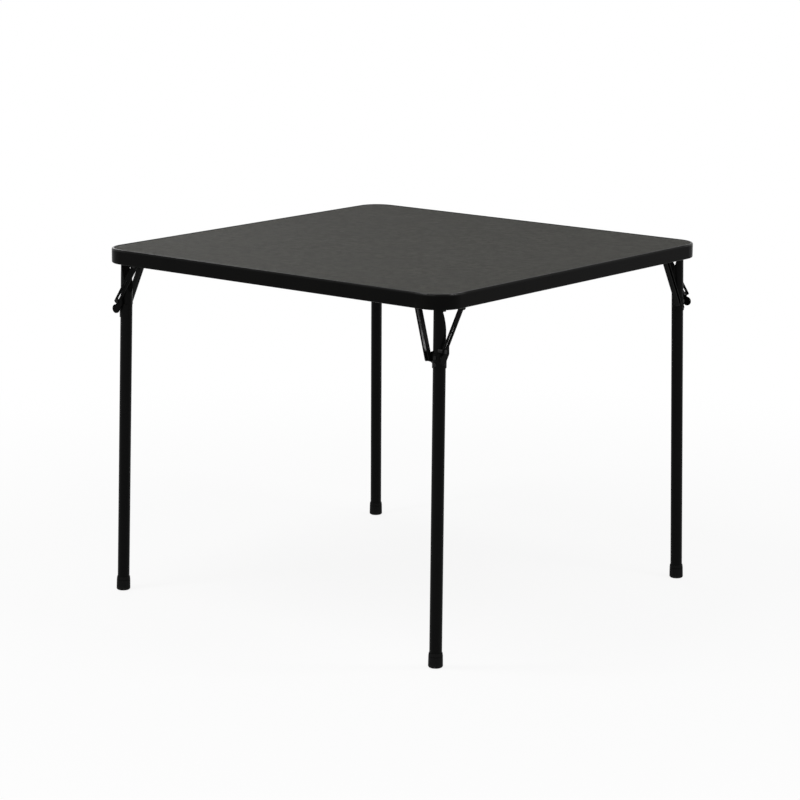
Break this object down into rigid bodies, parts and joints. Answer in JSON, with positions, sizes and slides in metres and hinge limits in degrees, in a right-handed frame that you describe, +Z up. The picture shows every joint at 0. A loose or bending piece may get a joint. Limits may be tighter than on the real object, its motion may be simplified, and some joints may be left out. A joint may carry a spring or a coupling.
{
  "type": "folding card table",
  "caption": "Square folding card table with a padded vinyl top in a steel rim and tube legs that fold flat under it, each locked by a slotted strap.",
  "frame": {"origin": "on the floor, under the middle of the top", "axes": "+Z up; X and Y along the sides of the top, -Y is the front"},
  "size_m": [0.864, 0.864, 0.709],
  "materials": {
    "rim_paint": "black satin powder coat",
    "leg_paint": "black satin powder coat",
    "rivet_paint": "black paint over steel",
    "vinyl": "dark grey vinyl with a faint grain",
    "foam": "foam sheet",
    "board": "pressed fibreboard",
    "zinc": "zinc plated",
    "foot_rubber": "matt black rubber"
  },
  "bodies": {
    "top": {"foam_pad": "foam", "hinge_bracket_back_left": "rim_paint", "hinge_bracket_back_right": "rim_paint", "hinge_bracket_front_left": "rim_paint", "hinge_bracket_front_right": "rim_paint", "hinge_pin_back_left": "zinc", "hinge_pin_back_right": "zinc", "hinge_pin_front_left": "zinc", "hinge_pin_front_right": "zinc", "panel_board": "board", "panel_screws": "zinc", "rim_frame": "rim_paint", "strap_pivot_rivet_back_left": "rivet_paint", "strap_pivot_rivet_back_right": "rivet_paint", "strap_pivot_rivet_front_left": "rivet_paint", "strap_pivot_rivet_front_right": "rivet_paint", "vinyl_cover": "vinyl"},
    "leg_front_left": {"leg_tube_front_left": "leg_paint", "foot_cap_front_left": "foot_rubber", "side_stay_front_left": "leg_paint", "leg_saddle_front_left": "leg_paint", "saddle_rivets_front_left": "rivet_paint", "slot_rivet_front_left": "rivet_paint"},
    "strap_front_left": {"lock_strap_front_left": "leg_paint"},
    "leg_front_right": {"leg_tube_front_right": "leg_paint", "foot_cap_front_right": "foot_rubber", "side_stay_front_right": "leg_paint", "leg_saddle_front_right": "leg_paint", "saddle_rivets_front_right": "rivet_paint", "slot_rivet_front_right": "rivet_paint"},
    "strap_front_right": {"lock_strap_front_right": "leg_paint"},
    "leg_back_right": {"leg_tube_back_right": "leg_paint", "foot_cap_back_right": "foot_rubber", "side_stay_back_right": "leg_paint", "leg_saddle_back_right": "leg_paint", "saddle_rivets_back_right": "rivet_paint", "slot_rivet_back_right": "rivet_paint"},
    "strap_back_right": {"lock_strap_back_right": "leg_paint"},
    "leg_back_left": {"leg_tube_back_left": "leg_paint", "foot_cap_back_left": "foot_rubber", "side_stay_back_left": "leg_paint", "leg_saddle_back_left": "leg_paint", "saddle_rivets_back_left": "rivet_paint", "slot_rivet_back_left": "rivet_paint"},
    "strap_back_left": {"lock_strap_back_left": "leg_paint"}
  },
  "joints": [
    {"name": "leg_fold_front_left", "type": "hinge", "parent": "top", "child": "leg_front_left", "pos_m": [-0.398, -0.396, 0.685], "axis": [0, -1, 0], "range_deg": [0, 91.15]},
    {"name": "leg_fold_front_right", "type": "hinge", "parent": "top", "child": "leg_front_right", "pos_m": [0.396, -0.398, 0.685], "axis": [1, 0, 0], "range_deg": [0, 91.15]},
    {"name": "leg_fold_back_right", "type": "hinge", "parent": "top", "child": "leg_back_right", "pos_m": [0.398, 0.396, 0.685], "axis": [0, 1, 0], "range_deg": [0, 91.15]},
    {"name": "leg_fold_back_left", "type": "hinge", "parent": "top", "child": "leg_back_left", "pos_m": [-0.396, 0.398, 0.685], "axis": [-1, 0, 0], "range_deg": [0, 91.15]},
    {"name": "strap_turn_front_left", "type": "hinge", "parent": "top", "child": "strap_front_left", "pos_m": [-0.355, -0.4151, 0.6786], "axis": [0, -1, 0], "range_deg": [0, 123.42]},
    {"name": "strap_turn_front_right", "type": "hinge", "parent": "top", "child": "strap_front_right", "pos_m": [0.4151, -0.355, 0.6786], "axis": [1, 0, 0], "range_deg": [0, 123.42]},
    {"name": "strap_turn_back_right", "type": "hinge", "parent": "top", "child": "strap_back_right", "pos_m": [0.355, 0.4151, 0.6786], "axis": [0, 1, 0], "range_deg": [0, 123.42]},
    {"name": "strap_turn_back_left", "type": "hinge", "parent": "top", "child": "strap_back_left", "pos_m": [-0.4151, 0.355, 0.6786], "axis": [-1, 0, 0], "range_deg": [0, 123.42]}
  ],
  "couplings": [
    {"joint": "strap_turn_front_left", "follows": "leg_fold_front_left", "ratio": 1.3539},
    {"joint": "strap_turn_front_right", "follows": "leg_fold_front_right", "ratio": 1.3539},
    {"joint": "strap_turn_back_right", "follows": "leg_fold_back_right", "ratio": 1.3539},
    {"joint": "strap_turn_back_left", "follows": "leg_fold_back_left", "ratio": 1.3539}
  ]
}
